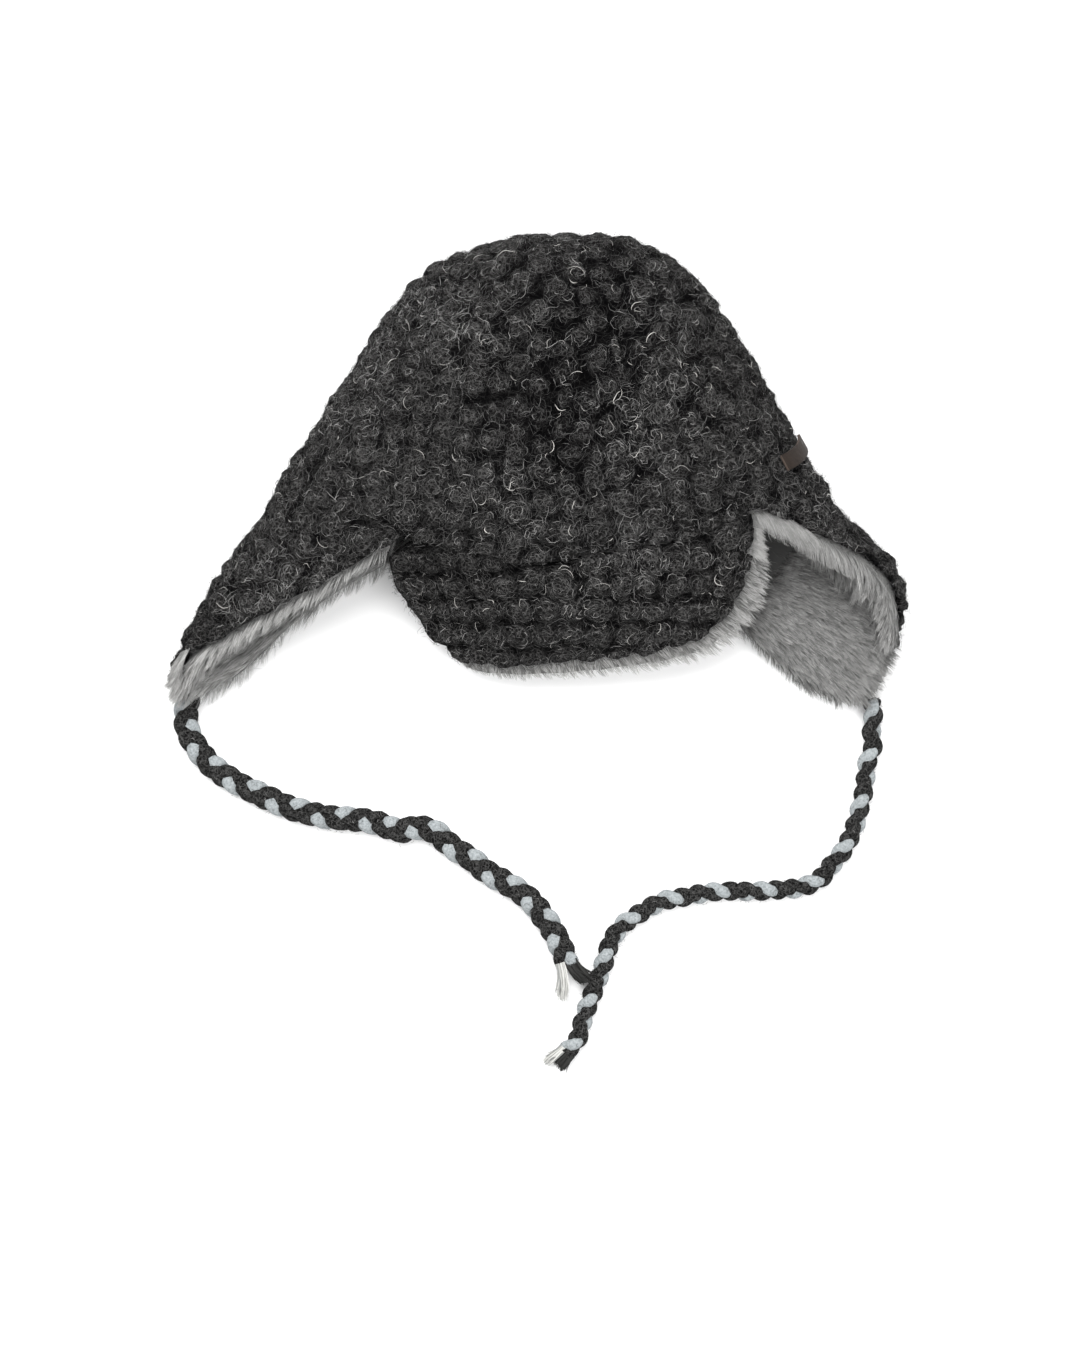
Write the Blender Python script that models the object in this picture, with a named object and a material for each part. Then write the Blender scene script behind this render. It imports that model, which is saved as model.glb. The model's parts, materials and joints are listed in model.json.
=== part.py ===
"""A chunky knitted beanie with ear flaps, a soft visor, a fur lining and two braided ties.

The hat is modelled as it lies on a table, back down: +Z points up out of the front of the hat,
+Y points to the crown's top and +X to the flap whose lining shows. Metres throughout.
The origin is on the flat that the back of the hat rests on.
"""

import functools
import math

import bmesh
import bpy
from mathutils import Vector

# Driving sizes of the hat
HAT_WIDTH = 0.404  # across the two spread ear flaps
HAT_LENGTH = 0.255  # from the crown's top to the lower flap tip
HAT_HEIGHT = 0.092  # thickest part of the lying hat
CROWN_TOP = 0.126  # distance from the origin up to the crown's top
KNIT_WALL = 0.007  # one layer of popcorn-stitch knitting
FUR_WALL = 0.007  # lining with its pile
LAYER_GAP = 0.0003  # between a wall and its lining
SEAM_GAP = 0.0009  # between the pieces of one layer, along the wall

# Driving sizes of the visor
VISOR_WIDTH = 0.199
VISOR_LENGTH = 0.0655  # from the crease to the knitted edge
VISOR_STEP = 0.002  # the visor starts this much below the crown's front

# How far the lining's pile reaches past the knitted edge
LEFT_FUR_SHOW = 0.009
RIGHT_FUR_SHOW = 0.021
BACK_FUR_SHOW = 0.0045
VISOR_FUR_SHOW = 0.020
LEAST_FUR_SHOW = 0.0006  # where the lining only backs the knitting

# Driving sizes of the ties and the tab
LEFT_BRAID = 0.013
RIGHT_BRAID = 0.011
LEFT_TUFT_LENGTH = 0.017
RIGHT_TUFT_LENGTH = 0.013
LEFT_TUFT_LEAN = -0.008
RIGHT_TUFT_LEAN = 0.0
TUFT_THICKNESS = 0.006
TAB_WIDTH = 0.009
TAB_THICKNESS = 0.0016
MM = 0.001

# Cross-sections of the hat, from the crown's top down to the flap tips. The first column is
# a share of HAT_LENGTH, left and right are shares of HAT_WIDTH from the centre line, and
# rise, fold and brow are shares of HAT_HEIGHT. Belly is how far the back wall drops from
# the side fold: past 1 its middle lies flat. Corner is the side fold's roundness.
SECTION_COLUMNS = ("drop", "left", "right", "rise", "fold", "belly", "corner", "brow")
SECTIONS = (
    (0.000, 0.013, 0.094, 0.00, 0.370, 0.00, 0.70, 0.00),
    (0.009, 0.040, 0.123, 0.13, 0.370, 0.34, 0.70, 0.00),
    (0.030, 0.078, 0.155, 0.25, 0.380, 0.65, 0.70, 0.00),
    (0.063, 0.131, 0.194, 0.36, 0.390, 0.90, 0.70, 0.00),
    (0.118, 0.174, 0.226, 0.45, 0.410, 1.04, 0.65, 0.00),
    (0.214, 0.219, 0.269, 0.52, 0.430, 1.08, 0.60, 0.00),
    (0.340, 0.269, 0.316, 0.55, 0.445, 1.08, 0.60, 0.00),
    (0.467, 0.318, 0.360, 0.55, 0.445, 1.08, 0.60, 0.00),
    (0.594, 0.370, 0.414, 0.50, 0.410, 1.08, 0.70, 0.05),
    (0.721, 0.425, 0.493, 0.37, 0.330, 1.08, 0.85, 0.17),
    (0.848, 0.473, 0.503, 0.28, 0.260, 1.08, 0.95, 0.25),
    (1.000, 0.513, 0.510, 0.22, 0.220, 1.08, 1.00, 0.28),
)

# Knitted edge of the front: left flap, crease under the brow, right flap. Shares of
# HAT_WIDTH from the centre line and of HAT_LENGTH from the crown's top.
FRONT_EDGE = (
    (-0.505, 0.934),
    (-0.481, 0.896),
    (-0.426, 0.865),
    (-0.378, 0.825),
    (-0.321, 0.782),
    (-0.255, 0.725),
    (-0.219, 0.693),
    (-0.190, 0.662),
    (-0.102, 0.668),
    (-0.051, 0.710),
    (0.007, 0.706),
    (0.064, 0.698),
    (0.114, 0.677),
    (0.186, 0.664),
    (0.257, 0.624),
    (0.287, 0.586),
    (0.330, 0.619),
    (0.392, 0.651),
    (0.448, 0.685),
    (0.474, 0.717),
    (0.489, 0.748),
    (0.503, 0.805),
)

# Knitted edge of the back: left flap, nape, right flap, in the same shares.
BACK_EDGE = (
    (-0.505, 0.934),
    (-0.481, 0.960),
    (-0.432, 0.953),
    (-0.401, 0.926),
    (-0.356, 0.871),
    (-0.325, 0.803),
    (-0.286, 0.774),
    (-0.239, 0.721),
    (-0.198, 0.679),
    (-0.142, 0.729),
    (-0.075, 0.755),
    (0.032, 0.776),
    (0.166, 0.793),
    (0.246, 0.803),
    (0.285, 0.814),
    (0.305, 0.860),
    (0.325, 0.905),
    (0.352, 0.936),
    (0.405, 0.968),
    (0.436, 0.981),
    (0.454, 0.957),
    (0.483, 0.910),
    (0.497, 0.850),
    (0.503, 0.805),
)

# Dents of the soft front: place, half width and half length as shares of HAT_WIDTH and
# HAT_LENGTH, and depth as a share of HAT_HEIGHT. A minus depth is a swell.
DENTS = (
    # across, drop, half_width, half_length, depth
    (0.125, 0.290, 0.030, 0.170, 0.075),
    (-0.070, 0.385, 0.030, 0.090, 0.045),
    (-0.110, 0.130, 0.060, 0.070, -0.030),
    (0.020, 0.200, 0.060, 0.120, -0.025),
    (-0.280, 0.640, 0.050, 0.070, 0.030),
    (0.250, 0.450, 0.035, 0.090, -0.020),
)

# Visor edge from the left end of the crease round to the right end: across from the
# visor's middle as a share of VISOR_WIDTH, below the crease as a share of VISOR_LENGTH,
# height as a share of HAT_HEIGHT, and how much of VISOR_FUR_SHOW the lining shows.
VISOR_EDGE = (
    (-0.500, 0.110, 0.600, 0.00),
    (-0.490, 0.300, 0.420, 0.00),
    (-0.455, 0.490, 0.300, 0.00),
    (-0.395, 0.720, 0.240, 0.00),
    (-0.330, 0.900, 0.230, 0.10),
    (-0.270, 0.985, 0.260, 0.45),
    (-0.130, 1.000, 0.330, 0.55),
    (0.045, 0.950, 0.390, 0.57),
    (0.175, 0.900, 0.410, 0.56),
    (0.300, 0.830, 0.420, 0.56),
    (0.390, 0.690, 0.430, 0.62),
    (0.445, 0.470, 0.460, 0.85),
    (0.480, 0.230, 0.520, 1.00),
    (0.495, 0.000, 0.600, 0.70),
    (0.490, -0.180, 0.700, 0.20),
)
VISOR_MIDDLE = 0.048  # of HAT_WIDTH, from the centre line
VISOR_CREASE = 0.668  # of HAT_LENGTH, from the crown's top
VISOR_INSET = 0.35  # of a column, between the visor's ends and the flaps
VISOR_FUR_LIFT = 0.3  # the lining past the edge falls this much of the edge's own slope
VISOR_ARCH = 0.10  # of HAT_HEIGHT, how much the visor swells between crease and edge

# Faces round the hat, and the columns where the flaps begin and end. Column 0 is the left
# side fold, column HALF the right one; the front wall lies between them.
COLUMNS = 48
HALF = COLUMNS // 2
LEFT_FLAP = (-8, 8)
RIGHT_FLAP = (18, 32)
LEFT_ROOT = 0.52  # of HAT_LENGTH, where the flap leaves the crown at the side fold
RIGHT_ROOT = 0.47
CROWN_ROWS = 13
FLAP_ROWS = 6
FUR_ROWS = 2
VISOR_COLUMNS = 22
VISOR_ROWS = 6
FLAP_END = 0.0013  # height of a flap at its front and back ends

# Powers of the curve across the front wall, from a half circle to a flat top with tight folds
ROUNDEST_FOLD = 2.0
SHARPEST_FOLD = 16.0

# Ends of the leather tab: degrees round the hat, and place counted in cross-sections
TAB_START = (150, 7.25)
TAB_END = (176, 6.85)
TAB_STEPS = 6

# Shape of the frayed ends
TUFT_LOCKS = (0.80, 1.00, 0.90, 0.96, 0.74)  # lengths, as shares of the tuft
TUFT_HEAD = 0.80  # width of its root and of its tips, as shares of the braid's
TUFT_SPREAD = 1.15
TUFT_VALLEY = 0.35  # where the locks part, as a share of its length
TUFT_TIP = 0.35  # thickness of a tip, as a share of the root's
TUFT_GAP = 0.0004

# Routes of the two ties over the table, in millimetres from the origin. They are read
# through a smooth curve, and the last column is the height of the middle of the braid.
LEFT_ROUTE = (
    (-190.5, -125.5, 7.6),
    (-192, -135, 6.7),
    (-191, -144, 6.6),
    (-186, -153, 6.6),
    (-180, -161, 6.6),
    (-170, -169, 6.6),
    (-159, -175, 6.6),
    (-147, -181, 6.6),
    (-135, -186, 6.6),
    (-121, -190, 6.6),
    (-107, -192, 6.6),
    (-94, -193, 6.6),
    (-83, -196, 6.6),
    (-75, -199, 6.6),
    (-66, -197, 6.6),
    (-56, -199, 6.6),
    (-47, -207, 6.6),
    (-36, -214, 6.6),
    (-26, -222, 6.6),
    (-12, -230, 6.6),
    (-2, -238, 6.6),
    (5, -247, 6.6),
    (10, -255, 6.6),
    (14, -263, 6.6),
    (17, -272, 6.6),
)
RIGHT_ROUTE = (
    (184, -127.6, 7.0),
    (185, -136, 5.7),
    (184, -144, 5.6),
    (185, -152, 5.6),
    (182, -160, 5.6),
    (181, -168, 5.6),
    (180, -176, 5.6),
    (178, -185, 5.6),
    (176, -193, 5.6),
    (173, -201, 5.6),
    (169, -209, 5.6),
    (162, -218, 5.6),
    (156, -225, 5.6),
    (145, -230, 5.6),
    (134, -231, 5.6),
    (120, -232, 5.6),
    (106, -232, 5.6),
    (93, -233, 5.6),
    (82, -235, 5.6),
    (71, -237, 5.6),
    (62, -241, 5.6),
    (54, -246, 5.6),
    (47, -251, 5.6),
    (42, -258, 6.0),
    (39, -265, 6.6),
    (37, -272, 6.8),
    (34, -280, 6.6),
    (31, -288, 6.0),
    (28, -296, 5.6),
    (25, -305, 5.6),
    (23, -313, 5.6),
    (16, -321, 5.6),
)
ROUTE_POINT_SPACING = 1.7  # of the braid's width
BRAID_SIDES = 3  # bevel resolution, ten sides


def clear_scene():
    """Removes whatever the file holds, so that only the hat is left."""
    for thing in list(bpy.data.objects):
        bpy.data.objects.remove(thing, do_unlink=True)


def smooth_read(values, place):
    """Catmull-Rom reading of a list at a place between its items."""
    last = len(values) - 1
    place = min(max(place, 0.0), float(last))
    low = min(int(place), last - 1)
    part = place - low
    p1, p2 = values[low], values[low + 1]
    p0 = values[low - 1] if low > 0 else 2 * p1 - p2
    p3 = values[low + 2] if low + 2 <= last else 2 * p2 - p1
    slope_in, slope_out = (p2 - p0) / 2, (p3 - p1) / 2
    cubic = 2 * p1 - 2 * p2 + slope_in + slope_out
    square = 3 * p2 - 3 * p1 - 2 * slope_in - slope_out
    return ((cubic * part + square) * part + slope_in) * part + p1


def straight_read(points, across):
    """Height of a line through (across, value) points, level past its ends."""
    if across <= points[0][0]:
        return points[0][1]
    for (x0, y0), (x1, y1) in zip(points, points[1:]):
        if across <= x1:
            return y0 + (y1 - y0) * (across - x0) / (x1 - x0)
    return points[-1][1]


SECTION_LISTS = dict(zip(SECTION_COLUMNS, zip(*SECTIONS)))


def section(name, place):
    """One measure of the hat's cross-section at a place."""
    return smooth_read(SECTION_LISTS[name], place)


def dent_at(across, drop):
    depth = 0.0
    for middle_across, middle_drop, half_width, half_length, share in DENTS:
        u = (across - middle_across) / half_width
        v = (drop - middle_drop) / half_length
        depth += share * math.exp(-u * u - v * v)
    return depth


def shell_shares(angle, place):
    """Shares (across, drop) and the side profile of the hat's outer face.

    The angle goes round the hat: 0 at the left fold, a half turn at the right fold, with
    the front wall between. The place counts cross-sections from the crown's top.
    """
    left, right = section("left", place), section("right", place)
    middle, half = (right - left) / 2, (right + left) / 2
    return middle - half * math.cos(angle), section("drop", place), half


@functools.cache
def shell_point(angle, place):
    """A point of the hat's outer face."""
    across, drop, half = shell_shares(angle, place)
    rise = max(section("rise", place), 1e-6)
    power = 2 * half * HAT_WIDTH * section("corner", place) / (rise * HAT_HEIGHT)
    power = min(max(power, ROUNDEST_FOLD), SHARPEST_FOLD)
    reach = abs(math.cos(angle))
    bulge = math.sqrt(max(0.0, 1 - reach**power))
    fold = section("fold", place)
    if math.sin(angle) >= 0:
        brow = section("brow", place) * (1 - reach * reach) ** 2
        height = fold + rise * bulge + brow - dent_at(across, drop) * bulge
    else:
        height = fold - fold * min(1.0, max(0.0, section("belly", place)) * bulge)
    return Vector((across * HAT_WIDTH, CROWN_TOP - drop * HAT_LENGTH, height * HAT_HEIGHT))


def shell_normal(angle, place):
    """Outward direction of the hat's outer face, averaged over the crown's top line."""
    if place < 0.05:
        total = slope_normal(angle, 0.08) + slope_normal(-angle, 0.08)
        return total.normalized()
    return slope_normal(angle, place)


def slope_normal(angle, place):
    step_round, step_down = math.radians(1.5), 0.06
    round_it = shell_point(angle + step_round, place) - shell_point(angle - step_round, place)
    low = min(place + step_down, len(SECTIONS) - 1)
    down_it = shell_point(angle, low) - shell_point(angle, place - step_down)
    return down_it.cross(round_it).normalized()


def column_angle(column):
    return 2 * math.pi * column / COLUMNS


def on_front(column):
    return 0 <= column % COLUMNS <= HALF


def place_of_drop(wanted):
    """The place whose cross-section lies at a share of HAT_LENGTH."""
    low, high = 0.0, float(len(SECTIONS) - 1)
    for _ in range(40):
        middle = (low + high) / 2
        if section("drop", middle) < wanted:
            low = middle
        else:
            high = middle
    return low


@functools.cache
def edge_place(column):
    """Where a column of the shell meets the knitted edge."""
    edge = FRONT_EDGE if on_front(column) else BACK_EDGE
    angle = column_angle(column)
    low, high = 3.0, float(len(SECTIONS) - 1)
    for _ in range(40):
        middle = (low + high) / 2
        across, drop, _ = shell_shares(angle, middle)
        if drop < straight_read(edge, across):
            low = middle
        else:
            high = middle
    return low


def further(column, place, length):
    """The place that lies a length further down a column."""
    angle = column_angle(column)
    step = 0.05
    run = (shell_point(angle, place) - shell_point(angle, place - step)).length / step
    return place + length / run


def flap_share(column, flap, fold_column):
    """0 at the side fold and 1 at the flap's front or back end."""
    end = flap[1] if column > fold_column else flap[0]
    return abs(column - fold_column) / abs(end - fold_column)


def root_place(column, flap, fold_column, root):
    """Where a flap leaves the crown in a column, above the flap's own edge."""
    end = flap[1] if column > fold_column else flap[0]
    at_fold = place_of_drop(root)
    at_end = further(end, edge_place(end), -FLAP_END)
    share = flap_share(column, flap, fold_column) ** 1.3
    lowest = further(column, edge_place(column), -FLAP_END)
    return min(at_fold + (at_end - at_fold) * share, lowest)


@functools.cache
def crown_end(column):
    """The last place of the crown's wall in a column."""
    near_left = (column + HALF) % COLUMNS - HALF
    if LEFT_FLAP[0] <= near_left <= LEFT_FLAP[1]:
        return root_place(near_left, LEFT_FLAP, 0, LEFT_ROOT)
    if RIGHT_FLAP[0] <= column <= RIGHT_FLAP[1]:
        return root_place(column, RIGHT_FLAP, HALF, RIGHT_ROOT)
    return edge_place(column)


def shell_layer(column, place, depth):
    """A point at a depth below the hat's outer face."""
    angle = column_angle(column)
    return shell_point(angle, place) - shell_normal(angle, place) * depth


def make_material(name, colour, roughness, metallic=0.0):
    material = bpy.data.materials.new(name)
    material.use_nodes = True
    shader = material.node_tree.nodes["Principled BSDF"]
    shader.inputs["Base Color"].default_value = (*colour, 1.0)
    shader.inputs["Roughness"].default_value = roughness
    shader.inputs["Metallic"].default_value = metallic
    return material


def finish_object(name, mesh_data, material):
    """Makes one named object of a bmesh, with its faces pointing outwards."""
    bmesh.ops.recalc_face_normals(mesh_data, faces=mesh_data.faces)
    bmesh.ops.triangulate(mesh_data, faces=mesh_data.faces)
    if mesh_data.calc_volume(signed=True) < 0:
        bmesh.ops.reverse_faces(mesh_data, faces=mesh_data.faces)
    mesh = bpy.data.meshes.new(name)
    mesh_data.to_mesh(mesh)
    mesh_data.free()
    mesh.materials.append(material)
    mesh.shade_smooth()
    mesh.set_sharp_from_angle(angle=math.radians(50))
    thing = bpy.data.objects.new(name, mesh)
    bpy.context.scene.collection.objects.link(thing)
    return thing


def crown_layer(name, outer_depth, inner_depth, material):
    """A closed wall of the crown between two depths, open at the brow and nape."""
    mesh_data = bmesh.new()
    rings = {}
    for side, depth in enumerate((outer_depth, inner_depth)):
        for column in range(COLUMNS):
            end = crown_end(column)
            for row in range(CROWN_ROWS + 1):
                if row == 0 and column > HALF:
                    rings[side, column, row] = rings[side, COLUMNS - column, 0]
                    continue
                place = end * row / CROWN_ROWS
                rings[side, column, row] = mesh_data.verts.new(shell_layer(column, place, depth))
    for side in (0, 1):
        for column in range(COLUMNS):
            after = (column + 1) % COLUMNS
            for row in range(CROWN_ROWS):
                corners = [rings[side, column, row], rings[side, after, row]]
                corners += [rings[side, after, row + 1], rings[side, column, row + 1]]
                mesh_data.faces.new(corners)
    for column in range(COLUMNS):
        after = (column + 1) % COLUMNS
        corners = [rings[0, column, CROWN_ROWS], rings[0, after, CROWN_ROWS]]
        corners += [rings[1, after, CROWN_ROWS], rings[1, column, CROWN_ROWS]]
        mesh_data.faces.new(corners)
    return finish_object(name, mesh_data, material)


def panel(name, grids, material):
    """A closed panel between an outer and an inner grid of points, rounded at its last row."""
    mesh_data = bmesh.new()
    verts = [[[mesh_data.verts.new(p) for p in line] for line in grid] for grid in grids]
    columns, rows = len(verts[0]), len(verts[0][0])
    for grid in verts:
        for i in range(columns - 1):
            for j in range(rows - 1):
                corners = [grid[i][j], grid[i + 1][j], grid[i + 1][j + 1], grid[i][j + 1]]
                mesh_data.faces.new(corners)
    outer, inner = verts
    for i in range(columns - 1):
        mesh_data.faces.new([outer[i][0], outer[i + 1][0], inner[i + 1][0], inner[i][0]])
        mesh_data.faces.new([outer[i][-1], outer[i + 1][-1], inner[i + 1][-1], inner[i][-1]])
    for j in range(rows - 1):
        mesh_data.faces.new([outer[0][j], outer[0][j + 1], inner[0][j + 1], inner[0][j]])
        mesh_data.faces.new([outer[-1][j], outer[-1][j + 1], inner[-1][j + 1], inner[-1][j]])
    return finish_object(name, mesh_data, material)


def flap_places(column, flap, fold_column, root, front_show):
    """Places of a flap's rows in one column: knitted rows, then the lining's last rows."""
    start = further(column, root_place(column, flap, fold_column, root), SEAM_GAP)
    end = edge_place(column)
    places = [start + (end - start) * row / FLAP_ROWS for row in range(FLAP_ROWS + 1)]
    show = front_show if column in range(1, HALF) else BACK_FUR_SHOW
    if column in (0, HALF):
        show = (front_show + BACK_FUR_SHOW) / 2
    taper = math.sqrt(max(0.0, 1 - flap_share(column, flap, fold_column) ** 3))
    for row in range(1, FUR_ROWS + 1):
        places.append(further(column, end, (LEAST_FUR_SHOW + show * taper) * row / FUR_ROWS))
    return places


def make_flap(side, flap, fold_column, root, front_show, wool, fur):
    """The knitted and the fur layer of one ear flap, which wraps round the side fold."""
    columns = range(flap[0], flap[1] + 1)
    rows = [flap_places(c, flap, fold_column, root, front_show) for c in columns]
    fur_top = KNIT_WALL + LAYER_GAP
    knit_grids, fur_grids = [], []
    for depth in (0.0, KNIT_WALL):
        grid = [
            [shell_layer(c, place, depth) for place in places[: FLAP_ROWS + 1]]
            for c, places in zip(columns, rows)
        ]
        knit_grids.append(grid)
    for depth in (fur_top, fur_top + FUR_WALL):
        grid = [
            [shell_layer(c, place, depth) for place in places]
            for c, places in zip(columns, rows)
        ]
        fur_grids.append(grid)
    panel(f"ear_flap_{side}_knit", knit_grids, wool)
    panel(f"ear_flap_{side}_fur", fur_grids, fur)


def crease_frame(share):
    """Point and outward direction on the crown's front edge, from its left to right end."""
    first, last = LEFT_FLAP[1] + VISOR_INSET, RIGHT_FLAP[0] - VISOR_INSET
    spot = first + (last - first) * share
    low = int(spot)
    part = spot - low
    ends = []
    for column in (low, low + 1):
        place = crown_end(column)
        angle = column_angle(column)
        ends.append((shell_point(angle, place), shell_normal(angle, place)))
    point = ends[0][0].lerp(ends[1][0], part)
    return point, ends[0][1].lerp(ends[1][1], part)


def visor_edge(share):
    """Point on the visor's knitted edge and how much fur shows there."""
    spot = share * (len(VISOR_EDGE) - 1)
    across, below, height, show = (
        smooth_read([row[k] for row in VISOR_EDGE], spot) for k in range(4)
    )
    x = VISOR_MIDDLE * HAT_WIDTH + across * VISOR_WIDTH
    y = CROWN_TOP - VISOR_CREASE * HAT_LENGTH - below * VISOR_LENGTH
    return Vector((x, y, height * HAT_HEIGHT)), max(0.0, show)


def visor_point(share, down):
    """A point of the visor's outer face, down from 0 at the crease to 1 at the edge."""
    crease, outward = crease_frame(share)
    start = crease - outward * VISOR_STEP + Vector((0, -SEAM_GAP, 0))
    edge, _ = visor_edge(share)
    point = start.lerp(edge, down)
    point.z += VISOR_ARCH * HAT_HEIGHT * math.sin(math.pi * min(down, 1.0)) * swell(share)
    return point


def swell(share):
    return math.sin(math.pi * share) ** 0.5


def visor_normal(share, down):
    """Outward direction of the visor, which is the crown's own at the crease."""
    _, seam = crease_frame(share)
    inside = min(max(share, 0.08), 0.92)
    sideways = visor_point(inside + 0.03, down) - visor_point(inside - 0.03, down)
    along = visor_point(inside, down + 0.05) - visor_point(inside, down - 0.05)
    own = along.cross(sideways).normalized()
    if own.z < 0:
        own.negate()
    blend = min(1.0, down * 1.5) * min(1.0, 5 * share, 5 * (1 - share))
    return seam.lerp(own, blend).normalized()


def make_visor(wool, fur):
    """The soft visor under the brow: a knitted panel and its lining."""
    shares = [i / VISOR_COLUMNS for i in range(VISOR_COLUMNS + 1)]
    downs = [j / VISOR_ROWS for j in range(VISOR_ROWS + 1)]
    fur_top = KNIT_WALL + LAYER_GAP

    def layer(depth, with_fur):
        grid = []
        for share in shares:
            line = [visor_point(share, d) - visor_normal(share, d) * depth for d in downs]
            if with_fur:
                edge, show = visor_edge(share)
                ahead = edge - visor_point(share, 0.8)
                ahead.z *= VISOR_FUR_LIFT
                ahead.normalize()
                reach = LEAST_FUR_SHOW + show * VISOR_FUR_SHOW
                line.append(line[-1] + ahead * reach)
            grid.append(line)
        return grid

    panel("visor_knit", [layer(0.0, False), layer(KNIT_WALL, False)], wool)
    panel("visor_fur", [layer(fur_top, True), layer(fur_top + FUR_WALL, True)], fur)


def make_tab(leather):
    """A bare strip of leather sewn flat on the right side of the crown."""
    grids = []
    for depth in (-LAYER_GAP - TAB_THICKNESS, -LAYER_GAP):
        grid = []
        for i in range(TAB_STEPS + 1):
            degrees, middle = (a + (b - a) * i / TAB_STEPS for a, b in zip(TAB_START, TAB_END))
            angle = math.radians(degrees)
            ahead = shell_point(angle, middle + 0.1) - shell_point(angle, middle - 0.1)
            half = TAB_WIDTH / 2 * 0.2 / ahead.length
            line = []
            for place in (middle - half, middle, middle + half):
                line.append(shell_point(angle, place) - shell_normal(angle, place) * depth)
            grid.append(line)
        grids.append(grid)
    panel("leather_tab", grids, leather)


def braid_curve(name, route, width, material):
    """A tie as one smooth tube through its route."""
    points = [Vector(p) * MM for p in route]
    places = [i / 8 for i in range(8 * (len(points) - 1) + 1)]
    fine = [Vector([smooth_read([p[k] for p in points], t) for k in range(3)]) for t in places]
    lengths = [0.0]
    for before, after in zip(fine, fine[1:]):
        lengths.append(lengths[-1] + (after - before).length)
    count = max(2, round(lengths[-1] / (ROUTE_POINT_SPACING * width)))
    curve = bpy.data.curves.new(name, "CURVE")
    curve.dimensions = "3D"
    curve.bevel_depth = width / 2
    curve.bevel_resolution = BRAID_SIDES
    curve.use_fill_caps = True
    spline = curve.splines.new("POLY")
    spline.points.add(count)
    spot = 0
    for i in range(count + 1):
        wanted = lengths[-1] * i / count
        while spot < len(fine) - 2 and lengths[spot + 1] < wanted:
            spot += 1
        part = (wanted - lengths[spot]) / (lengths[spot + 1] - lengths[spot])
        spline.points[i].co = (*fine[spot].lerp(fine[spot + 1], part), 1.0)
    curve.materials.append(material)
    thing = bpy.data.objects.new(name, curve)
    bpy.context.scene.collection.objects.link(thing)
    last, before = (spline.points[i].co.xyz for i in (count, count - 1))
    return last, (last - before).normalized()


def make_tuft(name, start, ahead, width, length, lean, material):
    """The frayed end of a tie: five pointed locks that grow from one short head.

    The lean is how far the tips swing to the left of the way the braid points.
    """
    ahead = Vector((ahead.x, ahead.y, 0)).normalized()
    sideways = Vector((-ahead.y, ahead.x, 0))
    base = start + ahead * TUFT_GAP
    base.z = width / 2
    locks = len(TUFT_LOCKS)
    mesh_data = bmesh.new()
    top = TUFT_THICKNESS / 2

    def spot(across, along, lift):
        share = TUFT_HEAD + (TUFT_SPREAD - TUFT_HEAD) * along
        place = base + sideways * (across - 0.5) * width * share
        place = place + ahead * along * length + sideways * lean * along**2
        place.z = base.z + lift
        return mesh_data.verts.new(place)

    layers = []
    for lift in (top, -top):
        head = [spot(i / locks, 0.0, lift) for i in range(locks + 1)]
        valley = [spot(i / locks, TUFT_VALLEY, lift) for i in range(locks + 1)]
        tips = [
            spot((i + 0.5) / locks, TUFT_LOCKS[i], lift * TUFT_TIP) for i in range(locks)
        ]
        layers.append((head, valley, tips))
        for i in range(locks):
            mesh_data.faces.new([head[i], head[i + 1], valley[i + 1], valley[i]])
            mesh_data.faces.new([valley[i], valley[i + 1], tips[i]])
    (head_a, valley_a, tips_a), (head_b, valley_b, tips_b) = layers
    for i in range(locks):
        mesh_data.faces.new([head_a[i], head_a[i + 1], head_b[i + 1], head_b[i]])
        mesh_data.faces.new([valley_a[i], tips_a[i], tips_b[i], valley_b[i]])
        mesh_data.faces.new([tips_a[i], valley_a[i + 1], valley_b[i + 1], tips_b[i]])
    for i in (0, locks):
        mesh_data.faces.new([head_a[i], valley_a[i], valley_b[i], head_b[i]])
    return finish_object(name, mesh_data, material)


def make_ties(wool, tape):
    """Both braided ties, each with its frayed end."""
    ties = (
        ("braid_left", LEFT_ROUTE, LEFT_BRAID, LEFT_TUFT_LENGTH, LEFT_TUFT_LEAN),
        ("braid_right", RIGHT_ROUTE, RIGHT_BRAID, RIGHT_TUFT_LENGTH, RIGHT_TUFT_LEAN),
    )
    for name, route, width, tuft_length, lean in ties:
        end, ahead = braid_curve(name, route, width, wool)
        make_tuft(f"{name}_tuft", end, ahead, width, tuft_length, lean, tape)


def main():
    clear_scene()
    wool = make_material("charcoal_wool", (0.032, 0.031, 0.030), 0.95)
    fur = make_material("grey_fur", (0.30, 0.30, 0.29), 0.9)
    leather = make_material("brown_leather", (0.040, 0.026, 0.020), 0.6)
    tape = make_material("pale_tape", (0.42, 0.46, 0.47), 0.9)
    fur_top = KNIT_WALL + LAYER_GAP
    crown_layer("crown_knit", 0.0, KNIT_WALL, wool)
    crown_layer("crown_fur", fur_top, fur_top + FUR_WALL, fur)
    make_flap("left", LEFT_FLAP, 0, LEFT_ROOT, LEFT_FUR_SHOW, wool, fur)
    make_flap("right", RIGHT_FLAP, HALF, RIGHT_ROOT, RIGHT_FUR_SHOW, wool, fur)
    make_visor(wool, fur)
    make_tab(leather)
    make_ties(wool, tape)


main()
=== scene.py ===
# %% [markdown]
# # A popcorn-knit winter hat with a fur lining
#
# The hat lies on its back and is seen from straight above. Its plain solids are already
# made and packed. This lesson dresses them: bobbles and loose fibres for the wool,
# combed strands for the fur, three real strands for each braided tie, and a camera and
# lights like those of a product photograph.

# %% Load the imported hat
import json
import math

import bpy
import numpy as np
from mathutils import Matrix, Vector, noise
from mathutils.bvhtree import BVHTree
from mathutils.kdtree import KDTree

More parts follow.
